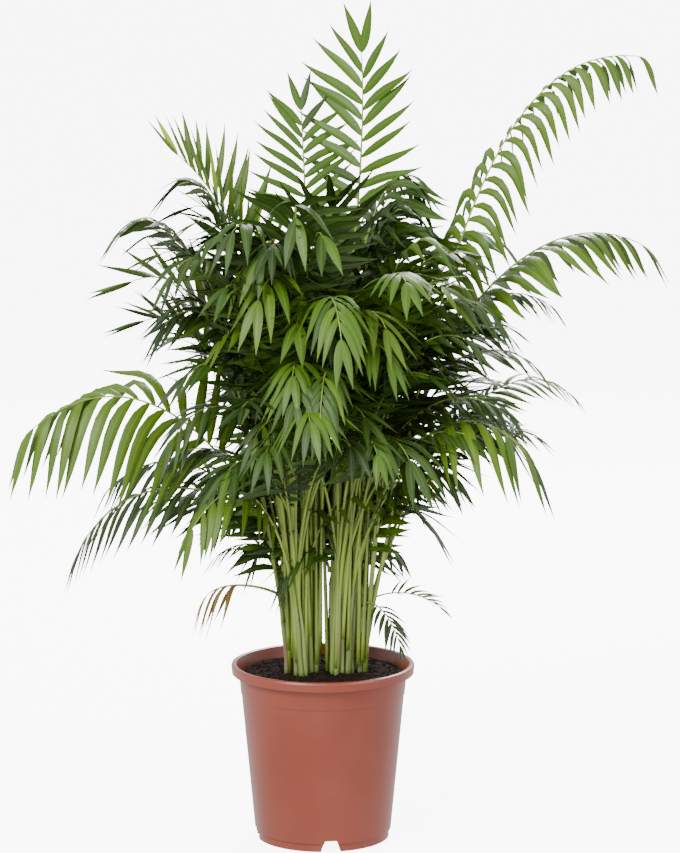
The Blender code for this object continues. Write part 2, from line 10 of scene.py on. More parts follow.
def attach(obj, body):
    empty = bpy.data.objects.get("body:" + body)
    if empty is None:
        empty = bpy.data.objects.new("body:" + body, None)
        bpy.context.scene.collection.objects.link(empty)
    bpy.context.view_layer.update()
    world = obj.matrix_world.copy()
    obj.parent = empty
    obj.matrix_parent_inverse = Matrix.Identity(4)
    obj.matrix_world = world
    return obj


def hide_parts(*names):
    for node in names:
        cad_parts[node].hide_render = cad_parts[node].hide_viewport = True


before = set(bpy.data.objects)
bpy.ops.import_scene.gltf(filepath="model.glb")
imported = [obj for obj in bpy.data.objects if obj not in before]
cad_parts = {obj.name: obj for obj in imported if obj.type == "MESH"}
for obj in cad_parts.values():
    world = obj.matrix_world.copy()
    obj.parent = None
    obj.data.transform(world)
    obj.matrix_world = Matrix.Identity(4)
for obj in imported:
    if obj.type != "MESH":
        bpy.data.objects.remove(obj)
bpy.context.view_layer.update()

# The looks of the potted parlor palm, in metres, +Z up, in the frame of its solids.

# Clearance between neighbouring pieces
GAP = 0.0003

# Pot
POT_HEIGHT = 0.232
RIM_RADIUS = 0.120
RIM_INNER_RADIUS = 0.1125
RIM_HEIGHT = 0.0125
RIM_ROUNDING = 0.0030
WALL_TOP_RADIUS = 0.1100
WALL_FOOT_RADIUS = 0.0892
WALL = 0.0022
STEP_HEIGHTS = (0.1930,)
STEP_DEPTH = 0.0008
STEP_SLOPE = 0.0010
FOOT_RING_HEIGHT = 0.010
FOOT_RING_SET_IN = 0.0016
FOOT_RING_WIDTH = 0.005
FLOOR_UNDERSIDE = 0.0160
FLOOR_THICKNESS = 0.0025
PAD_RADIUS = 0.018
NOTCHES = 4
FIRST_NOTCH = math.radians(-83)
NOTCH_WIDTH = 0.026
NOTCH_TOP_WIDTH = 0.015
NOTCH_HEIGHT = 0.0150
NOTCH_REACH = 0.030

# Soil
SOIL_TOP = 0.2220
SOIL_FLAT_RADIUS = 0.074
SOIL_EDGE_DROP = 0.0045

# Stems, in two clumps: name, middle of the foot and the turn of the spiral
CLUMPS = (("left", -0.0265, -0.003, math.radians(160)), ("right", 0.0305, 0.002, 0.0))
STEMS_PER_CLUMP = 8
STEM_PITCH = 0.0092
GOLDEN_TURN = math.radians(137.508)
STEM_TOP_RADIUS = 0.0061
STEM_MIDDLE_TOP = 0.372
STEM_TOP_FALL = 1.75
STEM_TOP_STEP = 0.009
STEM_SPREAD = 56.0
STEM_POINTS = 5

# Ribs of the fronds
RIB_SAMPLES = 140
STEM_SAMPLES = 30
FOOT_CLEARANCE = 0.0047
RIB_CLEARANCE = 0.0060
STEM_CLEARANCE = 0.0094
BASE_ZONE = 0.080
SLOTS = 4
SLOT_RING = 0.0040
RISE = 0.5
HANG_AT_FIRST = 0.5
HANG_AT_LAST = 1.4
REACH_TO_STEM = 0.17
TOP_BELOW_ARCH = 0.030
FORK_STEP = 0.010
FORK_ZONE = 0.080

# Leaflets
FORWARD_AT_FIRST = math.radians(66)
FORWARD_AT_LAST = math.radians(32)
FORWARD_OF_TIP = math.radians(16)
TWIST = (1.25, 0.25)

# Fronds seen one by one: name, end of the rib (x, y, z), height and place of the arch,
# bare share of the rib, leaf pairs, leaf length, hang, lift and roll in degrees, tone
# In the tone column the two palest greens paint the glow of light through backlit leaflets
FRONDS = (
    ("frond_rim_right", (0.100, -0.062, 0.268), 0.336, 0.62, 0.40, 5, 0.040, 0.80, 0, 10, "dark"),
    ("frond_top", (0.050, 0.060, 1.024), 0.86, 1.30, 0.70, 9, 0.108, 0.45, 10, 0, "mid"),
    ("frond_second_top", (-0.028, 0.080, 0.948), 0.80, 0.60, 0.72, 7, 0.085, 0.40, 5, 0, "mid"),
    ("frond_short_right", (0.152, -0.010, 0.308), 0.342, 0.60, 0.40, 4, 0.034, 0.30, 25, 10, "dark"),
    ("frond_wilted", (-0.150, -0.020, 0.326), 0.352, 0.75, 0.62, 3, 0.090, 1.60, 0, 20, "wilted"),
    ("frond_low_right", (0.178, 0.030, 0.462), 0.530, 0.55, 0.45, 6, 0.075, 0.90, 0, 20, "dark"),
    ("frond_short_left", (-0.140, 0.010, 0.370), 0.410, 0.60, 0.50, 4, 0.046, 0.60, 0, 10, "dark"),
    ("frond_upper_right", (0.404, 0.010, 1.021), 1.048, 0.40, 0.42, 12, 0.092, 1.60, 0, 55, "bright"),
    ("frond_right", (0.412, 0.030, 0.778), 0.864, 0.55, 0.56, 9, 0.110, 1.10, 0, 0, "bright"),
    ("frond_young", (-0.190, 0.100, 0.888), 0.800, 0.30, 0.60, 9, 0.105, -0.10, 60, 0, "bright"),
    ("frond_broad", (0.012, -0.070, 0.835), 0.800, 0.40, 0.70, 6, 0.115, 0.25, 10, 0, "dark"),
    ("frond_left_upper", (-0.185, 0.000, 0.857), 0.905, 0.52, 0.56, 8, 0.095, 0.70, 10, 25, "dark"),
    ("frond_left_high", (-0.252, -0.050, 0.806), 0.880, 0.55, 0.48, 8, 0.098, 0.70, 10, 25, "dark"),
    ("frond_left_mid", (-0.185, -0.130, 0.760), 0.850, 0.55, 0.56, 6, 0.095, 0.80, 5, -20, "dark"),
    ("frond_left_pale", (-0.246, 0.010, 0.732), 0.780, 0.50, 0.58, 7, 0.100, 0.10, 25, 30, "bright"),
    ("frond_left_dark", (-0.200, -0.060, 0.685), 0.765, 0.60, 0.52, 7, 0.100, 0.80, 5, -25, "dark"),
    ("frond_left_inner", (-0.190, -0.110, 0.545), 0.660, 0.55, 0.46, 7, 0.095, 0.80, 0, -20, "dark"),
    ("frond_big_left", (-0.372, -0.040, 0.548), 0.668, 0.55, 0.42, 10, 0.150, 1.50, 0, -78, "bright"),
    ("frond_low_left", (-0.278, 0.040, 0.458), 0.555, 0.55, 0.46, 7, 0.085, 1.10, 0, -20, "dark"),
    ("frond_droop_left", (-0.316, -0.020, 0.385), 0.540, 0.72, 0.40, 9, 0.100, 1.20, 0, -25, "dark"),
    ("frond_front_left", (-0.165, -0.120, 0.432), 0.542, 0.48, 0.40, 8, 0.098, 1.20, 0, -20, "bright"),
    ("frond_front_right", (0.258, -0.120, 0.528), 0.640, 0.55, 0.46, 8, 0.135, 1.40, 0, 10, "mid"),
    ("frond_fan_right", (0.236, -0.050, 0.572), 0.648, 0.55, 0.54, 6, 0.088, 0.80, 0, 25, "dark"),
    ("frond_mid_right", (0.318, 0.040, 0.585), 0.658, 0.60, 0.56, 7, 0.072, 0.60, 5, 20, "bright"),
    ("frond_slim_right", (0.272, 0.000, 0.625), 0.706, 0.60, 0.56, 6, 0.075, 0.60, 5, 15, "mid"),
    ("frond_small_right", (0.290, 0.000, 0.705), 0.775, 0.55, 0.56, 6, 0.070, 0.70, 0, 15, "dark"),
    ("frond_right_inner", (0.215, -0.090, 0.700), 0.790, 0.55, 0.50, 7, 0.100, 0.80, 0, 10, "dark"),
    ("frond_high_right", (0.226, 0.030, 0.785), 0.850, 0.50, 0.60, 7, 0.090, 0.70, 0, 15, "mid"),
    ("frond_right_upper", (0.155, -0.070, 0.780), 0.860, 0.50, 0.56, 6, 0.105, 0.70, 0, 0, "dark"),
    ("frond_star", (-0.002, -0.245, 0.592), 0.740, 0.60, 0.50, 7, 0.085, 1.10, 0, 0, "mid"),
    ("frond_centre", (0.024, -0.235, 0.690), 0.840, 0.60, 0.56, 7, 0.100, 1.10, 0, 0, "mid"),
    ("frond_back_low", (0.006, 0.120, 0.430), 0.520, 0.50, 0.46, 6, 0.090, 0.90, 0, 0, "dark"),
)

# Fronds of the crown's body, up to four on each shoot
INNER_SHOOTS = 10
INNER_SEED = 7
INNER_HEIGHTS = (0.46, 0.86)
INNER_ACROSS = 0.180
INNER_DEEP = 0.270
INNER_MIDDLE = 0.64
INNER_TALL = 0.42
INNER_PAIRS = 5
INNER_LEAF = 0.105
INNER_TRIES = 80
INNER_TURNS = (0, 55, -48, 110)

# Camera, at the photograph's viewing angle
IMAGE_HEIGHT = 853
FOCAL_PIXELS = 3521.0
SENSOR = 36.0
CAMERA_PLACE = (0.0224, -4.5, 1.27)
CAMERA_PITCH = math.radians(9.16)

# Lamps: name, place, width and height in metres, power in watts
LAMPS = (
    ("key", (-2.0, -2.6, 2.8), 1.2, 1.2, 230.0),
    ("strip", (-0.35, -3.2, 0.7), 0.35, 2.2, 42.0),
    ("fill", (2.8, -2.2, 1.6), 1.6, 1.6, 60.0),
    ("back", (0.6, 2.8, 2.8), 1.6, 1.6, 230.0),
)
LAMP_TARGET = (0.0, 0.0, 0.6)
FLOOR_SIZE = 60.0
FLOOR_DROP = 0.0005
FLOOR_GLOW = 7.0
WORLD_STRENGTH = 1.4
BACKDROP_STRENGTH = 8.5
WHITE = (1.0, 1.0, 1.0, 1.0)

# Finer leaflets: width along the blade, as shares of the length and of the full width
LEAF_SHARES = np.array((0.0, 0.06, 0.16, 0.30, 0.45, 0.60, 0.75, 0.88, 1.0))
LEAF_WIDTHS = np.array((0.24, 0.58, 0.87, 1.0, 0.95, 0.78, 0.52, 0.24, 0.03))
LEAF_TENT = math.radians(20)
LEAF_SWEEP = 0.30
LEAF_FILL = 0.70
PAIR_SPACING = {"young": 0.150, "bright": 0.200, "mid": 0.185, "dark": 0.160, "wilted": 0.160}
LEAF_SLENDER = {"young": 0.105, "bright": 0.170, "mid": 0.165, "dark": 0.145, "wilted": 0.100}
SPACING_RANGE = (0.0080, 0.0215)
LEAST_PAIRS = 4
PAIR_STAGGER = 0.18
TIP_PAIR_WIDER = 1.25

# How leaflets droop, and how each differs from its neighbours
LIMP = 1.3
LIMP_ABOVE = 1.45
VERY_LIMP = 1.9
DROOP_FULL_AT = 0.55
DROOP_POWER = 1.3
FORWARD_JITTER = math.radians(7)
TILT_JITTER = math.radians(9)
DROOP_JITTER = 0.2
SIZE_JITTER = 0.07
WIDTH_JITTER = 0.10
MAIN_TONE_SHARE = 0.72
LEAF_SEED = 11

# Petioles, and the sheaths that they stand in
ROD_SIDES = 8
ROD_STRIDE = 3
PETIOLE_RADIUS = 0.0026
RACHIS_RADIUS = 0.0016
RACHIS_TIP_RADIUS = 0.0006
SMALL_ROD_SHARE = 0.45
FULL_ROD_LEAF = 0.16
SHEATH_SIDES = 12
SHEATH_POINTS = 16
SHEATH_RADIUS = 0.0034
SHEATH_PLACES = (0, 0.7, 0.95, 1.0)
SHEATH_TAPER = (1.0, 0.9, 0.72, 0.55)
SHEATH_OFFSET = 0.0052
SHEATH_FOOT_OUT = 1.15
SHEATH_WANDER = 0.0016
SHEATH_WAVE = 5.0
SHEATH_WAVE_BY_PLACE = (40, 70)
SHEATH_OVER_TOP = 0.022
SHEATH_MAX_AWAY = 3

# Canes: flutes as height and number, ringed by leaf scars
CANE_SHARE = 0.66
CANE_TIP_RADIUS = 0.0020
CANE_TAPER_FROM = 0.9
CANE_SIDES = 24
CANE_RINGS = 48
CANE_FLUTES = ((0.09, 5), (0.04, 11))
SCAR_HEIGHT = 0.07
SCAR_PITCH = 22
SCAR_SHARPNESS = 12
SINK_IN_SOIL = 0.004

# Fronds between the planned ones, left out where they would hang low in front
TWIN_SEED = 23
TWIN_LEAST_BARE = 0.45
TWIN_LEAST_REACH = 0.13
TWIN_LARGEST_LEAF = 0.104
TWIN_TURN = (14, 30)
TWIN_SHRINK = (0.80, 0.95)
TWIN_DROP = (0.01, 0.06)
TWIN_ARCH_DROP = 0.04
TWIN_LEAST_ARCH = 0.03
TWIN_ARCH_PLACE = (0.45, 0.65)
TWIN_HANG = (0.3, 1.0)
TWIN_ROLL = 25
TWIN_LEAF = 0.95
TWIN_DARK_SHARE = 0.4
FRONT_LOW = 0.50
FRONT_BEFORE = 0.03

# Short fronds that hang under the crown, most of them behind
LOW_FRONDS = 18
LOW_STEM_STEP = 5
LOW_FRONT_EACH = 6
LOW_SEED = 31
LOW_STRAY = 0.3
LOW_HEIGHTS = (0.36, 0.50)
LOW_REACH = (0.04, 0.15)
LOW_ARCH = (0.03, 0.07)
LOW_ARCH_OVER_STEM = 0.05
LOW_ARCH_PLACE = (0.4, 0.6)
LOW_BARE = 0.36
LOW_LEAF = 0.085
LOW_LEAF_RANGE = (0.8, 1.1)
LOW_HANG = (0.6, 1.2)
LOW_ROLL = 25
LOW_TONES = ("dark", "dark", "mid")

# Bare petioles that fan up from the stems into the crown
REEDS_PER_STEM = 5
REED_POINTS = 14
REED_OFFSET = 0.0075
REED_LEAN = (0.2, 1.6)
REED_STRAY = 0.045
REED_TOPS = (0.50, 0.70)
REED_BOW = 0.25
REED_RADIUS = 0.0027
REED_SEED = 41

# Pot and soil
FINE_POT_STEPS = 144
POT_MERGE = 0.0001
POT_SHARP_ANGLE = math.radians(28)
NOTCH_BELOW = -0.004
SOIL_RINGS = 60
SOIL_TURNS = 200
SOIL_ROUGH = 0.0032
SOIL_SUNK = 0.001
SOIL_EDGE_GAP = 0.0003
SOIL_COARSE = (38, 1.7, 0.5)
SOIL_FINE = (210, 4.1, 0.35)
SOIL_NOISE = (0.9, 2.1, 3)
CRUMBS = 1500
CRUMB_SIZES = (0.0008, 0.0030)
CRUMB_SHRINK = (0.5, 1.0)
CRUMB_LUMPS = (0.6, 1.2)
CRUMB_ACROSS = (0.6, 1.6)
CRUMB_TALL = (0.5, 0.9)
CRUMB_EDGE = 0.004
CRUMB_LIFT = 0.2
SOIL_SEED = 5

# Base colours, linear. The two palest leaf greens are painted light: they stand in for light shining
# through backlit leaflets, and the palest is also the paler green of a young frond
LEAF_TONES = {
    "young": (0.185, 0.270, 0.006),
    "bright": (0.060, 0.116, 0.0045),
    "mid": (0.044, 0.098, 0.004),
    "dark": (0.022, 0.052, 0.004),
    "deep": (0.012, 0.029, 0.003),
    "dry": (0.170, 0.100, 0.026),
}
# Leaflet tones dealt to each frond's tone; the two palest greens among them are painted backlit glow
TONE_CHOICES = {
    "young": ("young", "young", "bright"),
    "bright": ("bright", "bright", "bright", "mid"),
    "mid": ("bright", "mid", "mid", "mid", "dark"),
    "dark": ("mid", "dark", "dark", "deep"),
    "wilted": ("dry", "dry", "dry"),
}
SHEATH_COLOUR = (0.125, 0.170, 0.040)
SHEATH_DRY = (0.170, 0.085, 0.050)
PETIOLE_COLOUR = (0.150, 0.210, 0.024)
CANE_COLOUR = (0.050, 0.078, 0.018)
POT_COLOUR = (0.160, 0.0275, 0.013)
POT_DUST = (0.182, 0.037, 0.020)
SOIL_COLOUR = (0.0070, 0.0030, 0.0022)
SOIL_LIGHT = (0.020, 0.0095, 0.0062)
FLOOR_COLOUR = (0.86, 0.86, 0.86)


def wall_radius(height):
    """Outer radius of the tapered wall, less the shallow steps above each line."""
    share = height / (POT_HEIGHT - RIM_HEIGHT)
    radius = WALL_FOOT_RADIUS + (WALL_TOP_RADIUS - WALL_FOOT_RADIUS) * share
    return radius - STEP_DEPTH * sum(height < step for step in STEP_HEIGHTS)


def pot_profile():
    """From the middle of the inner floor, up inside, over the rim and down to the pad."""
    floor_top = FLOOR_UNDERSIDE + FLOOR_THICKNESS
    inner_foot = wall_radius(floor_top) - WALL
    foot = wall_radius(0.0) - FOOT_RING_SET_IN
    rim_foot = POT_HEIGHT - RIM_HEIGHT
    profile = [(0.0, floor_top), (inner_foot, floor_top)]
    profile.append((WALL_TOP_RADIUS - WALL, rim_foot - 0.002))
    profile.append((RIM_INNER_RADIUS, POT_HEIGHT - RIM_ROUNDING))
    for turn in (45, 90):
        angle = math.radians(turn)
        profile.append(
            (
                RIM_INNER_RADIUS + RIM_ROUNDING * (1 - math.cos(angle)),
                POT_HEIGHT - RIM_ROUNDING * (1 - math.sin(angle)),
            )
        )
    for turn in (90, 45, 0):
        angle = math.radians(turn)
        profile.append(
            (
                RIM_RADIUS - RIM_ROUNDING * (1 - math.cos(angle)),
                POT_HEIGHT - RIM_ROUNDING * (1 - math.sin(angle)),
            )
        )
    profile.append((RIM_RADIUS - 0.0010, rim_foot))
    profile.append((WALL_TOP_RADIUS, rim_foot))
    for step in STEP_HEIGHTS:
        profile.append((wall_radius(step), step))
        profile.append((wall_radius(step - STEP_SLOPE), step - STEP_SLOPE))
    profile.append((wall_radius(FOOT_RING_HEIGHT + 0.001), FOOT_RING_HEIGHT + 0.001))
    profile.append((foot, FOOT_RING_HEIGHT))
    profile.append((foot, 0.0))
    profile.append((foot - FOOT_RING_WIDTH, 0.0))
    profile.append((foot - FOOT_RING_WIDTH - 0.001, FLOOR_UNDERSIDE))
    profile.append((PAD_RADIUS + 0.002, FLOOR_UNDERSIDE))
    profile.append((PAD_RADIUS, 0.0))
    profile.append((0.0, 0.0))
    return profile


def stem_places():
    """Foot, top and name of each stem. The tops spread out from the middle of the pot."""
    places = []
    for name, x, y, turn in CLUMPS:
        for k in range(STEMS_PER_CLUMP):
            angle = turn + k * GOLDEN_TURN
            ring = STEM_PITCH * math.sqrt(k + 0.5)
            foot = np.array([x + ring * math.cos(angle), y + ring * math.sin(angle), 0.0])
            foot[2] = SOIL_TOP + GAP
            top = foot.copy()
            top[2] = STEM_MIDDLE_TOP - STEM_TOP_FALL * math.hypot(foot[0], foot[1])
            top[2] += STEM_TOP_STEP * (k % 3 - 1)
            top[:2] *= 1 + STEM_SPREAD * (top[2] - foot[2]) * math.hypot(foot[0], foot[1])
            places.append((f"stem_{name}_{k + 1}", foot, top))
    return places


def stem_line(foot, top, points):
    """Points up a stem, which leaves the soil upright and leans out as it rises."""
    share = np.linspace(0.0, 1.0, points)[:, None]
    line = foot + (top - foot) * share * share * (1.5 - 0.5 * share)
    line[:, 2] = (foot[2] + (top[2] - foot[2]) * share)[:, 0]
    return line


def stem_axis(foot, top):
    """The direction of the stem's last stretch."""
    line = stem_line(foot, top, STEM_POINTS)
    last = line[-1] - line[-2]
    return last / np.linalg.norm(last)


def rib_line(base, start, end, arch_height, arch_place):
    """Points evenly spaced along the rib, which starts along a direction and arches to its end."""
    out = np.array([end[0] - base[0], end[1] - base[1], 0.0])
    rise = base + RISE * (arch_height - base[2]) * start / start[2]
    arch = base + arch_place * out
    arch[2] = arch_height
    t = np.linspace(0.0, 1.0, 4 * RIB_SAMPLES)[:, None]
    curve = (1 - t) ** 3 * base + 3 * t * (1 - t) ** 2 * rise
    curve = curve + 3 * t * t * (1 - t) * arch + t**3 * end
    walked = np.concatenate([[0.0], np.cumsum(np.linalg.norm(np.diff(curve, axis=0), axis=1))])
    even = np.linspace(0.0, walked[-1], RIB_SAMPLES)
    return np.stack([np.interp(even, walked, curve[:, k]) for k in range(3)], 1)


def nearest_gaps(line, others):
    """From each point of the line, the distance to the nearest point of the others."""
    points = np.concatenate(others)
    squares = (line * line).sum(1)[:, None] + (points * points).sum(1)[None, :]
    return np.sqrt(np.maximum(squares - 2 * line @ points.T, 0.0).min(axis=1))


def rib_is_clear(line, ribs, stem_lines):
    """Whether the rib keeps its distance from stems and ribs, a larger one past its foot."""
    if nearest_gaps(line, stem_lines).min() < STEM_CLEARANCE:
        return False
    if not ribs:
        return True
    gaps = nearest_gaps(line, ribs)
    walked = np.linalg.norm(line[1] - line[0]) * np.arange(len(line))
    return bool((gaps > np.where(walked < BASE_ZONE, FOOT_CLEARANCE, RIB_CLEARANCE)).all())


def nearest_stems(end, arch_height, stems, used):
    """Stems with a free place that end below the arch, the frond's own side first."""
    wanted = REACH_TO_STEM * np.array(end[:2])
    below = arch_height - TOP_BELOW_ARCH
    free = [k for k in range(len(stems)) if len(used[k]) < SLOTS and stems[k][2][2] < below]
    return sorted(free, key=lambda k: np.linalg.norm(stems[k][2][:2] - wanted))


def slot_place(stem_top, axis, end, taken):
    """The free place on the stem's tilted top that faces the frond's end, and its number."""
    heading = math.atan2(end[1] - stem_top[1], end[0] - stem_top[0])
    choices = []
    for slot in range(SLOTS):
        angle = slot * 2 * math.pi / SLOTS
        if slot not in taken:
            choices.append((-math.cos(angle - heading), slot, angle))
    _, slot, angle = min(choices)
    out = np.array([math.cos(angle), math.sin(angle), 0.0])
    out -= (out @ axis) * axis
    return stem_top + SLOT_RING * out / np.linalg.norm(out) + GAP * axis, slot


def spring_from_stem(end, arch_height, arch_place, garden):
    """The rib from the first stem that leaves it clear of the others, or nothing."""
    stems, used, ribs = garden["stems"], garden["used"], garden["ribs"]
    for k in nearest_stems(end, arch_height, stems, used):
        axis = stem_axis(*stems[k][1:])
        base, slot = slot_place(stems[k][2], axis, end, used[k])
        line = rib_line(base, axis, np.array(end), arch_height, arch_place)
        others = [other for n, other in enumerate(garden["lines"]) if n != k]
        if rib_is_clear(line, ribs, others):
            used[k].append(slot)
            return line
    return None


def inner_end(azimuth, height, share):
    """A rib's end on the crown's body, a squashed ball that is deeper than it is wide."""
    swell = math.sqrt(max(0.0, 1 - ((height - INNER_MIDDLE) / INNER_TALL) ** 2))
    x = INNER_ACROSS * swell * share * math.cos(azimuth) + 0.012
    y = INNER_DEEP * swell * share * math.sin(azimuth)
    return (x, y, height)


def plan_fronds():
    """Shoots, each a name with its fronds."""
    stems = stem_places()
    lines = [stem_line(foot, top, STEM_SAMPLES) for _, foot, top in stems]
    garden = {"stems": stems, "lines": lines, "used": [[] for _ in stems], "ribs": []}
    shoots = []
    for name, end, arch_height, arch_place, *leafing in FRONDS:
        line = spring_from_stem(end, arch_height, arch_place, garden)
        if line is None:
            continue
        garden["ribs"].append(line)
        shoots.append((name, [(line, *leafing)]))
    rng = random.Random(INNER_SEED)
    for k in range(INNER_SHOOTS):
        fronds = plan_inner_shoot(k, rng, garden)
        if fronds:
            shoots.append((f"frond_inner_{k + 1}", fronds))
    return shoots


def plan_inner_shoot(k, rng, garden):
    """Fronds of one shoot, the later ones forking off the first one's foot."""
    low, high = INNER_HEIGHTS
    fronds = []
    for partner, turn in enumerate(INNER_TURNS):
        for _ in range(INNER_TRIES):
            azimuth = k * GOLDEN_TURN + math.radians(turn) + rng.uniform(-0.4, 0.4)
            height = low + (high - low) * ((k * 0.618 + partner * 0.37) % 1.0)
            height += rng.uniform(-0.04, 0.04)
            end = inner_end(azimuth, height, rng.uniform(0.6, 1.0))
            arch_height = height + rng.uniform(0.05, 0.12)
            arch_place = rng.uniform(0.45, 0.65)
            if fronds:
                line = fork(fronds, partner, end, arch_height, arch_place, garden)
            else:
                line = spring_from_stem(end, arch_height, arch_place, garden)
            if line is not None:
                break
        if line is None:
            continue
        hang = rng.uniform(0.5, 1.1)
        roll = rng.uniform(-30, 30)
        leaf = INNER_LEAF * rng.uniform(0.85, 1.1)
        tone = rng.choice(("dark", "dark", "mid"))
        fronds.append((line, 0.54, INNER_PAIRS, leaf, hang, 4, roll, tone))
    garden["ribs"] += [frond[0] for frond in fronds]
    return fronds


def fork(fronds, partner, end, arch_height, arch_place, garden):
    """A rib that leaves the foot of the shoot's first rib, or nothing."""
    first = fronds[0][0]
    step = np.linalg.norm(first[1] - first[0])
    at = int(partner * FORK_STEP / step)
    line = rib_line(first[at], first[at + 1] - first[at], np.array(end), arch_height, arch_place)
    free = line[int(FORK_ZONE / np.linalg.norm(line[1] - line[0])) :]
    if nearest_gaps(free, [frond[0] for frond in fronds]).min() < RIB_CLEARANCE:
        return None
    others = [other for other in garden["lines"] if np.linalg.norm(other[-1] - first[0]) > 0.006]
    return line if rib_is_clear(line, garden["ribs"], others) else None


def blade_frames(line, roll):
    """Along, side and normal directions at each point of the rib."""
    along = np.gradient(line, axis=0)
    along /= np.linalg.norm(along, axis=1)[:, None]
    out = line[-1] - line[0]
    flat = np.array([-out[1], out[0], 0.0]) / math.hypot(out[0], out[1])
    side = flat - (along @ flat)[:, None] * along
    side /= np.linalg.norm(side, axis=1)[:, None]
    normal = np.cross(along, side)
    turn = math.radians(roll) * np.linspace(*TWIST, len(line))[:, None]
    rolled = side * np.cos(turn) + normal * np.sin(turn)
    return along, rolled, np.cross(along, rolled)


def leaf_profile(share):
    """Leaf length along the frond, from its first pair at 0 to its last at 1."""
    if share < 0.38:
        return 1 - 0.28 * (1 - share / 0.38) ** 2
    return 1 - 0.40 * ((share - 0.38) / 0.62) ** 2


def new_material(name, colour, roughness):
    """A Principled material, its node tree and its shader."""
    made = bpy.data.materials.new(name)
    made.use_nodes = True
    shader = made.node_tree.nodes["Principled BSDF"]
    shader.inputs["Base Color"].default_value = (*colour, 1.0)
    shader.inputs["Roughness"].default_value = roughness
    return made, made.node_tree, shader


def node(tree, kind, **values):
    """A node with its input sockets and properties set by name."""
    made = tree.nodes.new(kind)
    for key, value in values.items():
        label = key.replace("_", " ")
        if label in made.inputs:
            made.inputs[label].default_value = value
        else:
            setattr(made, key, value)
    return made


def noise_factor(tree, scale, stretch=(1.0, 1.0, 1.0), detail=3.0):
    """Noise from 0 to 1 in the piece's own coordinates."""
    place = node(tree, "ShaderNodeTexCoord")
    mapping = node(tree, "ShaderNodeMapping")
    mapping.inputs["Scale"].default_value = stretch
    texture = node(tree, "ShaderNodeTexNoise", Scale=scale, Detail=detail)
    tree.links.new(place.outputs["Object"], mapping.inputs["Vector"])
    tree.links.new(mapping.outputs["Vector"], texture.inputs["Vector"])
    return texture.outputs["Fac"]


def ramp(tree, factor, low, high):
    """The factor spread so that low becomes 0 and high becomes 1."""
    spread = node(tree, "ShaderNodeMapRange")
    spread.inputs["From Min"].default_value = low
    spread.inputs["From Max"].default_value = high
    tree.links.new(factor, spread.inputs["Value"])
    return spread.outputs["Result"]


def mixed(tree, factor, first, second):
    """A colour between two, each a value or a socket."""
    mix = node(tree, "ShaderNodeMix", data_type="RGBA")
    tree.links.new(factor, mix.inputs[0])
    for value, socket in ((first, mix.inputs[6]), (second, mix.inputs[7])):
        if isinstance(value, tuple):
            socket.default_value = (*value, 1.0)
        else:
            tree.links.new(value, socket)
    return mix.outputs[2]


def scaled(colour, factor):
    return tuple(min(1.0, part * factor) for part in colour)


def bump(tree, shader, height, strength, distance):
    """Relief from a height socket."""
    made = node(tree, "ShaderNodeBump", Strength=strength, Distance=distance)
    tree.links.new(height, made.inputs["Height"])
    tree.links.new(made.outputs["Normal"], shader.inputs["Normal"])


def leaf_material(name, colour):
    """Satin leaf: soft mottling, a paler midrib and fine veins along the leaflet."""
    made, tree, shader = new_material(name, colour, 0.36)
    shader.inputs["Specular IOR Level"].default_value = 0.26
    place = node(tree, "ShaderNodeTexCoord")
    split = node(tree, "ShaderNodeSeparateXYZ")
    tree.links.new(place.outputs["UV"], split.inputs["Vector"])
    mottle = ramp(tree, noise_factor(tree, scale=14.0), low=0.3, high=0.7)
    blade = mixed(tree, mottle, scaled(colour, 0.78), scaled(colour, 1.22))
    centre = node(tree, "ShaderNodeMath", operation="SUBTRACT")
    tree.links.new(split.outputs["X"], centre.inputs[0])
    centre.inputs[1].default_value = 0.5
    away = node(tree, "ShaderNodeMath", operation="ABSOLUTE")
    tree.links.new(centre.outputs[0], away.inputs[0])
    edge = ramp(tree, away.outputs[0], low=0.02, high=0.12)
    pale = tuple(part * 0.7 + paler for part, paler in zip(scaled(colour, 1.5), (0.03, 0.04, 0.008)))
    blade = mixed(tree, edge, pale, blade)
    veins = node(tree, "ShaderNodeTexWave", wave_type="BANDS", bands_direction="X")
    veins.inputs["Scale"].default_value = 4.5
    veins.inputs["Distortion"].default_value = 0.6
    tree.links.new(place.outputs["UV"], veins.inputs["Vector"])
    stripes = ramp(tree, veins.outputs["Fac"], low=0.0, high=1.6)
    striped = mixed(tree, stripes, blade, scaled(colour, 0.62))
    tree.links.new(striped, shader.inputs["Base Color"])
    rough = ramp(tree, noise_factor(tree, scale=30.0), low=0.0, high=1.0)
    spread = node(tree, "ShaderNodeMapRange")
    spread.inputs["To Min"].default_value = 0.32
    spread.inputs["To Max"].default_value = 0.50
    tree.links.new(rough, spread.inputs["Value"])
    tree.links.new(spread.outputs["Result"], shader.inputs["Roughness"])
    bump(tree, shader, veins.outputs["Fac"], strength=0.25, distance=0.0004)
    return made


def rod_material(name, colour, other, roughness):
    """Green rods with upright streaks and patches of a second colour."""
    made, tree, shader = new_material(name, colour, roughness)
    fine = noise_factor(tree, scale=60.0, stretch=(1.0, 1.0, 0.06), detail=4.0)
    streaks = ramp(tree, fine, low=0.35, high=0.65)
    base = mixed(tree, streaks, scaled(colour, 0.72), scaled(colour, 1.25))
    broad = noise_factor(tree, scale=26.0, stretch=(1.0, 1.0, 0.5), detail=5.0)
    patches = ramp(tree, broad, low=0.56, high=0.70)
    tree.links.new(mixed(tree, patches, base, other), shader.inputs["Base Color"])
    bump(tree, shader, streaks, strength=0.5, distance=0.0006)
    return made


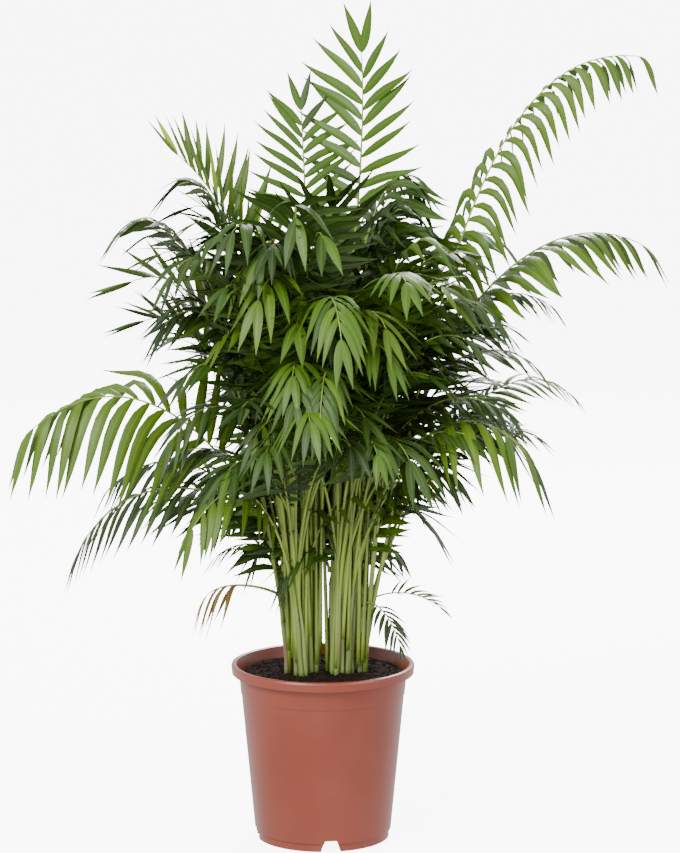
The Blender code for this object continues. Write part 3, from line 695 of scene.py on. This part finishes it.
def pot_material():
    """Satin terracotta-coloured plastic with faint dust and a fine grain."""
    made, tree, shader = new_material("pot_plastic", POT_COLOUR, 0.34)
    cloud = ramp(tree, noise_factor(tree, scale=9.0, detail=5.0), low=0.35, high=0.75)
    dusty = mixed(tree, cloud, scaled(POT_COLOUR, 0.94), POT_DUST)
    tree.links.new(dusty, shader.inputs["Base Color"])
    shader.inputs["Specular IOR Level"].default_value = 0.42
    cloudy = node(tree, "ShaderNodeMapRange")
    cloudy.inputs["To Min"].default_value = 0.28
    cloudy.inputs["To Max"].default_value = 0.40
    tree.links.new(cloud, cloudy.inputs["Value"])
    tree.links.new(cloudy.outputs["Result"], shader.inputs["Roughness"])
    grain = noise_factor(tree, scale=900.0, detail=2.0)
    bump(tree, shader, grain, strength=0.08, distance=0.0003)
    return made


def soil_material(name, colour, light):
    """Dark crumbly soil."""
    made, tree, shader = new_material(name, colour, 0.95)
    shader.inputs["Specular IOR Level"].default_value = 0.12
    grains = ramp(tree, noise_factor(tree, scale=260.0, detail=6.0), low=0.48, high=0.72)
    tree.links.new(mixed(tree, grains, colour, light), shader.inputs["Base Color"])
    lumps = noise_factor(tree, scale=420.0, detail=6.0)
    bump(tree, shader, lumps, strength=0.8, distance=0.002)
    return made


def mesh_piece(name, points, faces, surface, uvs=None):
    """One object from arrays of points and faces, shaded smooth."""
    mesh = bpy.data.meshes.new(name)
    mesh.from_pydata(points.tolist(), [], faces)
    if uvs is not None:
        layer = mesh.uv_layers.new(name="UVMap")
        corners = np.zeros(len(mesh.loops), np.int64)
        mesh.loops.foreach_get("vertex_index", corners)
        layer.data.foreach_set("uv", uvs[corners].astype(np.float32).ravel())
    mesh.shade_smooth()
    made = bpy.data.objects.new(name, mesh)
    made.data.materials.append(surface)
    bpy.context.scene.collection.objects.link(made)
    return made


class Pile:
    """Points, faces and UVs of many small forms that become one piece."""

    def __init__(self):
        self.points = []
        self.faces = []
        self.uvs = []
        self.count = 0

    def add(self, points, faces, uvs):
        self.points.append(points)
        self.faces += [tuple(corner + self.count for corner in face) for face in faces]
        self.uvs.append(uvs)
        self.count += len(points)

    def piece(self, name, surface):
        return mesh_piece(name, np.concatenate(self.points), self.faces, surface, np.concatenate(self.uvs))


def unit(vectors):
    return vectors / np.maximum(np.linalg.norm(vectors, axis=-1, keepdims=True), 1e-12)


def strip_faces():
    """Faces of one leaflet: two columns of quads between stations of three points."""
    faces = []
    for k in range(len(LEAF_SHARES) - 1):
        a, b = 3 * k, 3 * k + 3
        faces.append((a, a + 1, b + 1, b))
        faces.append((a + 1, a + 2, b + 2, b + 1))
    return faces


STRIP = strip_faces()
STRIP_UV = np.array([(u, v) for v in LEAF_SHARES for u in (0.0, 0.5, 1.0)])


def leaflet_points(roots, along, spread, normal, forward, hang, length, width):
    """Points of many leaflets, each a drooping strip with a raised midrib."""
    first = unit(along * np.cos(forward)[:, None] + spread * np.sin(forward)[:, None])
    level = np.hypot(first[:, 0], first[:, 1])
    face = np.cross(first, along)
    face = unit(face) * np.where((face * normal).sum(1) < 0, -1.0, 1.0)[:, None]
    shares = LEAF_SHARES[None, :, None]
    droop = (hang * level)[:, None, None] * np.minimum(1.0, shares / DROOP_FULL_AT) ** DROOP_POWER
    heading = first[:, None, :] + LEAF_SWEEP * shares**2 * along[:, None, :]
    heading = heading - droop * np.array([0.0, 0.0, 1.0])
    heading = unit(heading)
    steps = np.diff(LEAF_SHARES)[None, :, None] * (heading[:, 1:] + heading[:, :-1]) / 2
    path = np.concatenate([np.zeros_like(steps[:, :1]), np.cumsum(steps, axis=1)], axis=1)
    path = roots[:, None, :] + path * length[:, None, None]
    top = face[:, None, :] - (face[:, None, :] * heading).sum(-1, keepdims=True) * heading
    top = unit(top)
    across = np.cross(top, heading)
    half = 0.5 * width[:, None, None] * LEAF_WIDTHS[None, :, None]
    low = half * math.sin(LEAF_TENT)
    wide = half * math.cos(LEAF_TENT)
    rear = path - wide * across - low * top
    front = path + wide * across - low * top
    return np.stack([rear, path, front], axis=2).reshape(len(roots), -1, 3)


def fine_pairs(length, bare, leaf, tone):
    """Number of leaflet pairs and their spacing."""
    spacing = min(max(PAIR_SPACING[tone] * leaf, SPACING_RANGE[0]), SPACING_RANGE[1])
    leafy = length * (1 - bare)
    pairs = max(LEAST_PAIRS, round(leafy / spacing))
    return pairs, leafy / pairs


def leaf_out(frond, piles, rng):
    """Adds a frond's leaflets to the piles of their tones."""
    line, bare, _, leaf, hang, lift, roll, tone = frond
    along, side, normal = blade_frames(line, roll)
    length = np.linalg.norm(np.diff(line, axis=0), axis=1).sum()
    pairs, spacing = fine_pairs(length, bare, leaf, tone)
    shares = (np.arange(pairs) + 0.5) / pairs
    mix = TONE_CHOICES[tone]
    main = rng.choice(mix)
    for sign in (1, -1):
        places = bare + (1 - bare) * np.clip(shares + sign * PAIR_STAGGER / pairs, 0.0, 1.0)
        places[-1] = 1.0
        at = places * (len(line) - 1)
        k = np.minimum(at.astype(int), len(line) - 2)
        rest = (at - k)[:, None]
        roots = line[k] * (1 - rest) + line[k + 1] * rest
        jitter = np.array([[rng.uniform(-1, 1) for _ in range(5)] for _ in range(pairs)])
        forward = FORWARD_AT_FIRST + (FORWARD_AT_LAST - FORWARD_AT_FIRST) * shares
        forward = forward + FORWARD_JITTER * jitter[:, 0]
        forward[-1] = FORWARD_OF_TIP
        tilt = math.radians(lift) + TILT_JITTER * jitter[:, 1]
        spread = side[k] * sign * np.cos(tilt)[:, None] + normal[k] * np.sin(tilt)[:, None]
        droop = hang * (HANG_AT_FIRST + (HANG_AT_LAST - HANG_AT_FIRST) * shares)
        droop = droop * (VERY_LIMP if hang > LIMP_ABOVE else LIMP) + DROOP_JITTER * jitter[:, 2]
        sizes = leaf * np.array([leaf_profile(share) for share in shares])
        sizes = sizes * (1 + SIZE_JITTER * jitter[:, 3])
        widths = np.minimum(LEAF_FILL * spacing, LEAF_SLENDER[tone] * sizes)
        widths = widths * (1 + WIDTH_JITTER * jitter[:, 4])
        widths[-1] *= TIP_PAIR_WIDER
        points = leaflet_points(roots, along[k], spread, normal[k], forward, droop, sizes, widths)
        for strip in points:
            chosen = main if rng.random() < MAIN_TONE_SHARE else rng.choice(mix)
            piles[chosen].add(strip, STRIP, STRIP_UV)


def tube(line, radii, sides):
    """Points, faces and UVs of a closed tube along a line."""
    along = unit(np.gradient(line, axis=0))
    aside = unit(np.cross(along, np.array([0.31, 0.95, 0.02])))
    above = np.cross(along, aside)
    turns = np.arange(sides) * 2 * math.pi / sides
    ring = np.cos(turns)[None, :, None] * aside[:, None, :]
    ring = ring + np.sin(turns)[None, :, None] * above[:, None, :]
    points = (line[:, None, :] + radii[:, None, None] * ring).reshape(-1, 3)
    faces = []
    for k in range(len(line) - 1):
        for s in range(sides):
            t = (s + 1) % sides
            faces.append((k * sides + s, k * sides + t, (k + 1) * sides + t, (k + 1) * sides + s))
    faces.append(tuple(range(sides))[::-1])
    last = (len(line) - 1) * sides
    faces.append(tuple(range(last, last + sides)))
    u = np.tile(np.arange(sides) / sides, len(line))
    v = np.repeat(np.linspace(0, 1, len(line)), sides)
    return points, faces, np.stack([u, v], 1)


def add_rod(line, bare, leaf, pile):
    """Petiole and rachis, thinner towards the tip."""
    short = line[::ROD_STRIDE]
    if (len(line) - 1) % ROD_STRIDE:
        short = np.concatenate([short, line[-1:]])
    share = np.linspace(0.0, 1.0, len(short))
    small = min(1.0, SMALL_ROD_SHARE + leaf / FULL_ROD_LEAF)
    ends = (PETIOLE_RADIUS, RACHIS_RADIUS, RACHIS_TIP_RADIUS)
    radii = np.interp(share, (0.0, bare, 1.0), ends) * small
    pile.add(*tube(short, radii, ROD_SIDES))


def sheath_line(base, stems):
    """The foot of a petiole, which runs down beside its stem to the soil."""
    foot, top = min(((f, t) for _, f, t in stems), key=lambda ends: np.linalg.norm(ends[1] - base))
    if np.linalg.norm(top - base) > SHEATH_MAX_AWAY * SLOT_RING:
        return None
    out = base - top
    out[2] = 0.0
    out /= np.linalg.norm(out) + 1e-9
    stem = stem_line(foot, top, SHEATH_POINTS)
    by_x, by_y = SHEATH_WAVE_BY_PLACE
    phase = np.linspace(0.0, SHEATH_WAVE, SHEATH_POINTS) + by_x * base[0] + by_y * base[1]
    wander = np.sin(phase)[:, None]
    aside = np.array([-out[1], out[0], 0.0])
    line = stem + SHEATH_OFFSET * out * np.linspace(SHEATH_FOOT_OUT, 1.0, SHEATH_POINTS)[:, None]
    line = line + SHEATH_WANDER * wander * np.linspace(1.0, 0.0, SHEATH_POINTS)[:, None] * aside
    line[0, 2] -= SINK_IN_SOIL
    above = base + unit(top - stem[-2]) * SHEATH_OVER_TOP
    return np.concatenate([line, [above]])


def add_canes(stems, pile):
    """Fluted canes from the soil up to their tops, ringed by leaf scars."""
    for n, (_, foot, top) in enumerate(stems):
        line = stem_line(foot, top, CANE_RINGS)
        line[0, 2] -= SINK_IN_SOIL
        share = np.linspace(0, 1, CANE_RINGS)
        scars = 1 + SCAR_HEIGHT * np.maximum(0, np.cos(share * SCAR_PITCH + n)) ** SCAR_SHARPNESS
        full = STEM_TOP_RADIUS * CANE_SHARE
        radii = np.interp(share, (0, CANE_TAPER_FROM, 1.0), (full, full, CANE_TIP_RADIUS)) * scars
        points, faces, uvs = tube(line, radii, CANE_SIDES)
        rings = points.reshape(CANE_RINGS, CANE_SIDES, 3)
        turns = np.arange(CANE_SIDES) * 2 * math.pi / CANE_SIDES
        (deep, few), (shallow, many) = CANE_FLUTES
        flutes = 1 + deep * np.cos(few * turns + n)[None, :, None]
        flutes = flutes + shallow * np.cos(many * turns)[None, :, None]
        rings = line[:, None, :] + (rings - line[:, None, :]) * flutes
        pile.add(rings.reshape(-1, 3), faces, uvs)


def twins(shoots, rng):
    """More fronds between the planned ones, from the same feet and a little shorter."""
    more = []
    for name, fronds in shoots:
        for frond in fronds:
            line, bare, pairs, leaf, hang, lift, roll, tone = frond
            reach = math.hypot(*(line[-1] - line[0])[:2])
            inner = "inner" in name
            leafy_or_short = bare < TWIN_LEAST_BARE or reach < TWIN_LEAST_REACH
            if not inner and (leafy_or_short or leaf > TWIN_LARGEST_LEAF):
                continue
            for turn in (-1, 1):
                angle = turn * math.radians(rng.uniform(*TWIN_TURN))
                shrink = rng.uniform(*TWIN_SHRINK)
                c, s = math.cos(angle) * shrink, math.sin(angle) * shrink
                out = line[-1] - line[0]
                end = line[0] + np.array([c * out[0] - s * out[1], s * out[0] + c * out[1], out[2]])
                end[2] -= rng.uniform(*TWIN_DROP)
                arch = max(line[:, 2].max(), end[2]) - rng.uniform(0.0, TWIN_ARCH_DROP)
                arch = max(arch, end[2] + TWIN_LEAST_ARCH)
                heading = unit(line[1] - line[0])
                new = rib_line(line[0], heading, end, arch, rng.uniform(*TWIN_ARCH_PLACE))
                if end[2] < FRONT_LOW and end[1] < FRONT_BEFORE:
                    continue
                # Twins of fronds that carry the painted backlit glow, and some others at random, take the
                # dark green
                shade = "dark" if tone == "bright" or rng.random() < TWIN_DARK_SHARE else tone
                limp = hang * rng.uniform(*TWIN_HANG)
                turned = roll + rng.uniform(-TWIN_ROLL, TWIN_ROLL)
                more.append((new, bare, pairs, leaf * TWIN_LEAF, limp, lift, turned, shade))
    return more


def low_fronds(stems, rng):
    """Short, mostly dark fronds that hang among the petioles under the crown."""
    made = []
    for k in range(LOW_FRONDS):
        _, foot, top = stems[(k * LOW_STEM_STEP) % len(stems)]
        axis = stem_axis(foot, top)
        azimuth = k * GOLDEN_TURN + rng.uniform(-LOW_STRAY, LOW_STRAY)
        if k % LOW_FRONT_EACH != 0:
            azimuth = abs(math.remainder(azimuth, 2 * math.pi))
        reach = rng.uniform(*LOW_REACH)
        end = np.array([top[0] + reach * math.cos(azimuth), top[1] + reach * math.sin(azimuth), 0.0])
        end[2] = rng.uniform(*LOW_HEIGHTS)
        arch = max(end[2] + rng.uniform(*LOW_ARCH), top[2] + LOW_ARCH_OVER_STEM)
        base, _ = slot_place(top, axis, end, [])
        line = rib_line(base, axis, end, arch, rng.uniform(*LOW_ARCH_PLACE))
        tone = rng.choice(LOW_TONES)
        leaf = LOW_LEAF * rng.uniform(*LOW_LEAF_RANGE)
        hang = rng.uniform(*LOW_HANG)
        roll = rng.uniform(-LOW_ROLL, LOW_ROLL)
        made.append((line, LOW_BARE, INNER_PAIRS, leaf, hang, 0, roll, tone))
    return made


def reeds(stems, rng):
    """Lines of long petioles that leave the stems low down and fan up into the crown."""
    lines = []
    for _, foot, top in stems:
        stem = stem_line(foot, top, REED_POINTS)
        for _ in range(REEDS_PER_STEM):
            turn = rng.uniform(0, 2 * math.pi)
            aside = np.array([math.cos(turn), math.sin(turn), 0.0])
            start = REED_OFFSET * aside + stem[rng.randrange(REED_POINTS // 2)]
            lean = np.array([top[0] - foot[0], top[1] - foot[1], 0.0])
            out = rng.uniform(*REED_LEAN) * lean + rng.uniform(0.0, REED_STRAY) * aside
            end = np.array([top[0], top[1], 0.0]) + out
            end[2] = rng.uniform(*REED_TOPS)
            share = np.linspace(0.0, 1.0, REED_POINTS)[:, None]
            middle = (start + end) / 2 - REED_BOW * out
            lines.append((1 - share) ** 2 * start + 2 * share * (1 - share) * middle + share**2 * end)
    return lines


def add_palm():
    """Canes, sheaths, petioles and leaflets, each kind in its own pieces."""
    stems = stem_places()
    shoots = plan_fronds()
    rng = random.Random(LEAF_SEED)
    piles = {tone: Pile() for tone in LEAF_TONES}
    petioles, sheaths, canes = Pile(), Pile(), Pile()
    add_canes(stems, canes)
    # frond_young takes the palest green: partly a young frond's paler colour, partly painted glow of light
    # through its backlit leaflets
    planned = [
        (*frond[:-1], "young") if name == "frond_young" else frond
        for name, fronds in shoots
        for frond in fronds
    ]
    low = low_fronds(stems, random.Random(LOW_SEED))
    for line in reeds(stems, random.Random(REED_SEED)):
        petioles.add(*tube(line, np.linspace(REED_RADIUS, RACHIS_RADIUS, REED_POINTS), ROD_SIDES))
    for frond in planned + twins(shoots, random.Random(TWIN_SEED)) + low:
        line, bare, _, leaf, *_ = frond
        add_rod(line, bare, leaf, petioles)
        leaf_out(frond, piles, rng)
    for frond in planned:
        line = sheath_line(frond[0][0], stems)
        if line is not None:
            radii = np.interp(np.linspace(0, 1, len(line)), SHEATH_PLACES, SHEATH_TAPER)
            sheaths.add(*tube(line, radii * SHEATH_RADIUS, SHEATH_SIDES))
    pieces = {}
    # One leaf material and piece per tone; the two palest carry painted glow of light through backlit
    # leaflets
    for tone, pile in piles.items():
        if pile.count:
            surface = leaf_material(f"leaf_{tone}", LEAF_TONES[tone])
            piece = pile.piece(f"leaves_{tone}", surface)
            pieces[tone] = piece
    shown = 0
    for tone, piece in pieces.items():
        nodes = [name for name, fronds in shoots if TONE_CHOICES[fronds[0][-1]][1] == tone]
        if nodes:
            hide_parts(*nodes)
        shown += len(nodes)
    if shown != len(shoots):
        raise RuntimeError("a frond has no finer leaflets in its place")
    shaded = scaled(PETIOLE_COLOUR, 0.6)
    rods = petioles.piece("petioles", rod_material("petiole_green", PETIOLE_COLOUR, shaded, 0.4))
    wraps = sheaths.piece("leaf_sheaths", rod_material("sheath_green", SHEATH_COLOUR, SHEATH_DRY, 0.55))
    trunks = canes.piece("canes", rod_material("cane_green", CANE_COLOUR, SHEATH_DRY, 0.55))
    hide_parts(*[name for name, *_ in stems])
    return [*pieces.values(), rods, wraps, trunks]


def add_pot():
    """The pot turned from the solid's own profile in finer steps, with its drain notches cut."""
    profile = pot_profile()
    mesh = bpy.data.meshes.new("pot_shell")
    edges = [(i, i + 1) for i in range(len(profile) - 1)]
    mesh.from_pydata([(r, 0.0, z) for r, z in profile], edges, [])
    pot = bpy.data.objects.new("pot_shell", mesh)
    bpy.context.scene.collection.objects.link(pot)
    screw = pot.modifiers.new("Turn", "SCREW")
    screw.steps = FINE_POT_STEPS
    screw.render_steps = FINE_POT_STEPS
    screw.use_merge_vertices = True
    screw.merge_threshold = POT_MERGE
    cutters = []
    for k in range(NOTCHES):
        cutter = notch_cutter(FIRST_NOTCH + k * 2 * math.pi / NOTCHES)
        cutters.append(cutter)
        cut = pot.modifiers.new("Drain notch", "BOOLEAN")
        cut.operation = "DIFFERENCE"
        cut.object = cutter
    bpy.context.view_layer.update()
    graph = bpy.context.evaluated_depsgraph_get()
    final = bpy.data.meshes.new_from_object(pot.evaluated_get(graph))
    pot.modifiers.clear()
    pot.data = final
    for cutter in cutters:
        bpy.data.objects.remove(cutter)
    final.materials.clear()
    final.materials.append(pot_material())
    final.shade_smooth()
    final.set_sharp_from_angle(angle=POT_SHARP_ANGLE)
    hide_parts("pot")
    return [pot]


def notch_cutter(turn):
    """A trapezoid block that cuts one drain notch through the foot ring."""
    bm = bmesh.new()
    middle = WALL_FOOT_RADIUS - FOOT_RING_SET_IN
    slope = (NOTCH_WIDTH - NOTCH_TOP_WIDTH) / 2 / NOTCH_HEIGHT
    low_half = NOTCH_WIDTH / 2 - NOTCH_BELOW * slope
    high_half = NOTCH_TOP_WIDTH / 2
    bmesh.ops.create_cube(bm, size=1.0)
    for vert in bm.verts:
        high = vert.co.z > 0
        side = 1 if vert.co.y > 0 else -1
        vert.co.x = middle + vert.co.x * NOTCH_REACH
        vert.co.y = side * (high_half if high else low_half)
        vert.co.z = NOTCH_HEIGHT if high else NOTCH_BELOW
    mesh = bpy.data.meshes.new("notch_cutter")
    bm.to_mesh(mesh)
    bm.free()
    cutter = bpy.data.objects.new("notch_cutter", mesh)
    cutter.rotation_euler.z = turn
    bpy.context.scene.collection.objects.link(cutter)
    return cutter


def soil_height(x, y):
    """Height of the rough soil over a place in the pot."""
    radius = math.hypot(x, y)
    outside = (radius - SOIL_FLAT_RADIUS) / (WALL_TOP_RADIUS - SOIL_FLAT_RADIUS)
    fall = SOIL_EDGE_DROP * max(0.0, outside)
    rough = 0.0
    for scale, layer, share in (SOIL_COARSE, SOIL_FINE):
        rough += share * noise.fractal(Vector((x * scale, y * scale, layer)), *SOIL_NOISE)
    return SOIL_TOP - fall + SOIL_ROUGH * rough - SOIL_SUNK


def add_soil():
    """A rough bed of soil with crumbs on it."""
    edge = WALL_TOP_RADIUS - WALL - 2 * GAP - SOIL_EDGE_GAP
    points = [(0.0, 0.0, soil_height(0.0, 0.0))]
    for ring in range(1, SOIL_RINGS + 1):
        radius = edge * ring / SOIL_RINGS
        for turn in range(SOIL_TURNS):
            angle = turn * 2 * math.pi / SOIL_TURNS
            x, y = radius * math.cos(angle), radius * math.sin(angle)
            points.append((x, y, soil_height(x, y)))
    faces = [(0, 1 + t, 1 + (t + 1) % SOIL_TURNS) for t in range(SOIL_TURNS)]
    for ring in range(SOIL_RINGS - 1):
        a, b = 1 + ring * SOIL_TURNS, 1 + (ring + 1) * SOIL_TURNS
        for t in range(SOIL_TURNS):
            s = (t + 1) % SOIL_TURNS
            faces.append((a + t, b + t, b + s, a + s))
    surface = soil_material("soil_dark", SOIL_COLOUR, SOIL_LIGHT)
    bed = mesh_piece("soil_bed", np.array(points), faces, surface)
    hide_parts("soil")
    rng = random.Random(SOIL_SEED)
    pile = Pile()
    bm = bmesh.new()
    bmesh.ops.create_icosphere(bm, subdivisions=1, radius=1.0)
    ball = np.array([vert.co[:] for vert in bm.verts])
    shell = [tuple(vert.index for vert in face.verts) for face in bm.faces]
    bm.free()
    for _ in range(CRUMBS):
        radius = (edge - CRUMB_EDGE) * math.sqrt(rng.random())
        angle = rng.uniform(0, 2 * math.pi)
        x, y = radius * math.cos(angle), radius * math.sin(angle)
        size = rng.uniform(*CRUMB_SIZES) * rng.uniform(*CRUMB_SHRINK)
        lumps = np.array([[rng.uniform(*CRUMB_LUMPS)] for _ in ball])
        sides = (CRUMB_ACROSS, CRUMB_ACROSS, CRUMB_TALL)
        stretch = np.array([rng.uniform(*limits) for limits in sides])
        place = np.array([x, y, soil_height(x, y) + CRUMB_LIFT * size])
        crumb = ball * lumps * stretch * size + place
        pile.add(crumb, shell, np.zeros((len(ball), 2)))
    surface = soil_material("soil_crumb", scaled(SOIL_COLOUR, 1.4), scaled(SOIL_LIGHT, 1.5))
    crumbs = pile.piece("soil_crumbs", surface)
    return [bed, crumbs]


def add_stage():
    """Pale floor, soft lights and the camera."""
    bpy.ops.mesh.primitive_plane_add(size=FLOOR_SIZE, location=(0.0, 0.0, -FLOOR_DROP))
    floor = bpy.context.object
    floor.name = "floor"
    white, _, shader = new_material("floor_white", FLOOR_COLOUR, 0.9)
    shader.inputs["Emission Color"].default_value = WHITE
    shader.inputs["Emission Strength"].default_value = FLOOR_GLOW
    floor.data.materials.append(white)
    # The floor and the backdrop look brighter to the camera than the light that they give
    floor.visible_diffuse = False
    floor.visible_glossy = False
    world = bpy.data.worlds.new("studio")
    world.use_nodes = True
    background = world.node_tree.nodes["Background"]
    background.inputs["Color"].default_value = WHITE
    seen = node(world.node_tree, "ShaderNodeLightPath")
    strength = node(world.node_tree, "ShaderNodeMapRange")
    strength.inputs["To Min"].default_value = WORLD_STRENGTH
    strength.inputs["To Max"].default_value = BACKDROP_STRENGTH
    world.node_tree.links.new(seen.outputs["Is Camera Ray"], strength.inputs["Value"])
    world.node_tree.links.new(strength.outputs["Result"], background.inputs["Strength"])
    bpy.context.scene.world = world
    for name, place, width, height, power in LAMPS:
        light = bpy.data.lights.new(name, "AREA")
        light.shape = "RECTANGLE"
        light.size = width
        light.size_y = height
        light.energy = power
        lamp = bpy.data.objects.new(name, light)
        lamp.location = place
        aim = Vector(LAMP_TARGET) - lamp.location
        lamp.rotation_euler = aim.to_track_quat("-Z", "Y").to_euler()
        bpy.context.scene.collection.objects.link(lamp)
    eye = bpy.data.cameras.new("camera")
    eye.sensor_width = SENSOR
    eye.lens = FOCAL_PIXELS / IMAGE_HEIGHT * SENSOR
    camera = bpy.data.objects.new("camera", eye)
    camera.location = CAMERA_PLACE
    camera.rotation_euler = (math.pi / 2 - CAMERA_PITCH, 0.0, 0.0)
    bpy.context.scene.collection.objects.link(camera)
    bpy.context.scene.camera = camera


for piece in add_palm() + add_pot() + add_soil():
    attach(piece, "root")
add_stage()
